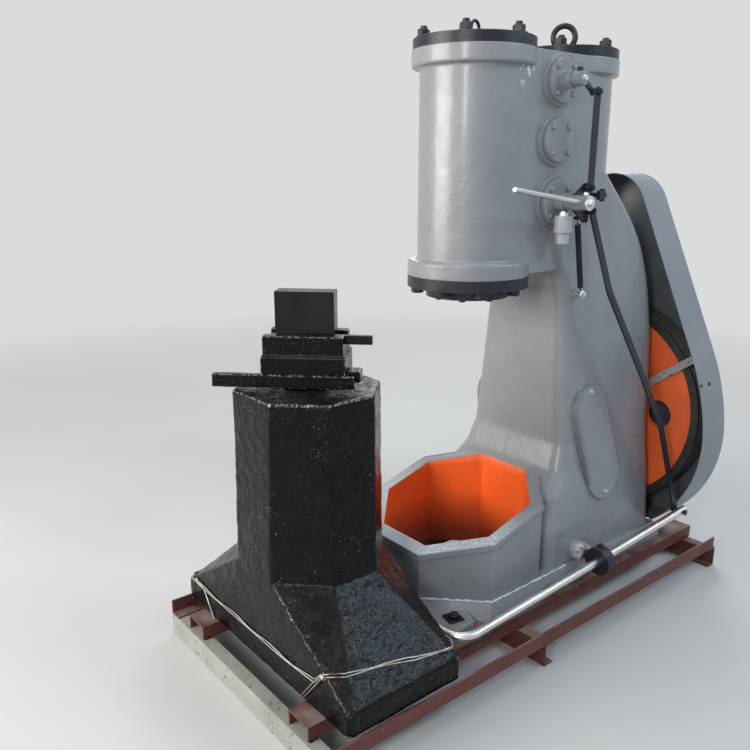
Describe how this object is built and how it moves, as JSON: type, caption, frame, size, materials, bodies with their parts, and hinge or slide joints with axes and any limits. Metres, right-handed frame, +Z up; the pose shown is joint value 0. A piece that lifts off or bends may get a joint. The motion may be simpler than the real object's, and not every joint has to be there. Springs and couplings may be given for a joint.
{
  "type": "pneumatic forging hammer",
  "caption": "Two-piece pneumatic forging hammer on a shipping skid: twin cylinders, hand lever and treadle gear, grooved flywheel in a belt guard, and its separate anvil.",
  "frame": {"origin": "middle of the underside of the skid's middle beam, on the floor", "axes": "+X from the anvil towards the flywheel, +Y away from the lever side, +Z up"},
  "size_m": [1.989, 0.972, 2.105],
  "materials": {
    "enamel": "light bluish-grey enamel on rough casting",
    "black_paint": "black enamel, worn at the edges",
    "guard_grey": "grey enamel on sheet",
    "orange_primer": "orange primer",
    "primer_red": "red-brown primer with dust",
    "beam_grey": "silver-grey paint with dirt",
    "bitumen": "glossy black bitumen coat",
    "bright_steel": "bare steel",
    "worn_iron": "dark iron, slightly rusty",
    "zinc_steel": "zinc plated steel"
  },
  "bodies": {
    "machine": {"skid_front_beam": "beam_grey", "skid_middle_beam": "primer_red", "skid_rear_beam": "primer_red", "skid_left_rail": "primer_red", "skid_right_rail": "primer_red", "skid_left_angle": "primer_red", "skid_right_angle": "primer_red", "hammer_frame": "enamel", "front_cylinder_cover": "black_paint", "rear_cylinder_cover": "black_paint", "front_eye_bolt": "black_paint", "rear_eye_bolt": "black_paint", "ram_gland": "black_paint", "upper_valve_cover": "enamel", "middle_valve_cover": "enamel", "lower_valve_cover": "enamel", "return_spring": "black_paint", "spring_anchor": "zinc_steel", "drain_fitting": "zinc_steel", "bleed_valve": "black_paint", "right_inspection_cover": "enamel", "left_inspection_cover": "enamel", "belt_guard": "guard_grey", "guard_back": "guard_grey", "guard_strap_left": "beam_grey", "guard_strap_right": "beam_grey", "anvil": "bitumen", "anvil_cap": "bitumen", "cap_key": "worn_iron", "cap_wedge": "worn_iron", "lower_die": "worn_iron", "die_key": "worn_iron"},
    "treadle": {"treadle": "bright_steel", "treadle_left_pivot": "black_paint", "treadle_right_pivot": "black_paint", "link_bolt": "black_paint"},
    "valve_lever": {"lever_crank": "black_paint", "hand_lever": "bright_steel"},
    "long_link": {"long_link": "black_paint"},
    "upper_link": {"upper_link": "black_paint"},
    "upper_crank": {"upper_crank": "enamel"},
    "flywheel": {"flywheel": "orange_primer", "crankshaft": "bright_steel"}
  },
  "joints": [
    {"name": "treadle_pivot", "type": "hinge", "parent": "machine", "child": "treadle", "pos_m": [0.37, 0, 0.229], "axis": [0, -1, 0], "range_deg": [0, 2.8]},
    {"name": "valve_lever", "type": "hinge", "parent": "machine", "child": "valve_lever", "pos_m": [0.27, 0, 1.499], "axis": [0, -1, 0], "range_deg": [0, 21.58], "deforming": ["return_spring"]},
    {"name": "long_link_swing", "type": "hinge", "parent": "valve_lever", "child": "long_link", "pos_m": [0.339, 0, 1.472], "axis": [0, -1, 0], "range_deg": [-22.01, 0]},
    {"name": "upper_link_swing", "type": "hinge", "parent": "valve_lever", "child": "upper_link", "pos_m": [0.323, 0, 1.547], "axis": [0, -1, 0], "range_deg": [-27.08, 0]},
    {"name": "upper_valve", "type": "hinge", "parent": "machine", "child": "upper_crank", "pos_m": [0.269, 0, 1.883], "axis": [0, -1, 0], "range_deg": [0, 13.31]},
    {"name": "flywheel_turn", "type": "hinge", "parent": "machine", "child": "flywheel", "pos_m": [0.958, 0, 0.642], "axis": [1, 0, 0], "continuous": true}
  ],
  "couplings": [
    {"joint": "valve_lever", "follows": "treadle_pivot", "ratio": 7.7059},
    {"joint": "long_link_swing", "follows": "treadle_pivot", "ratio": -7.8587},
    {"joint": "upper_link_swing", "follows": "treadle_pivot", "ratio": -9.671},
    {"joint": "upper_valve", "follows": "treadle_pivot", "ratio": 4.7526}
  ]
}
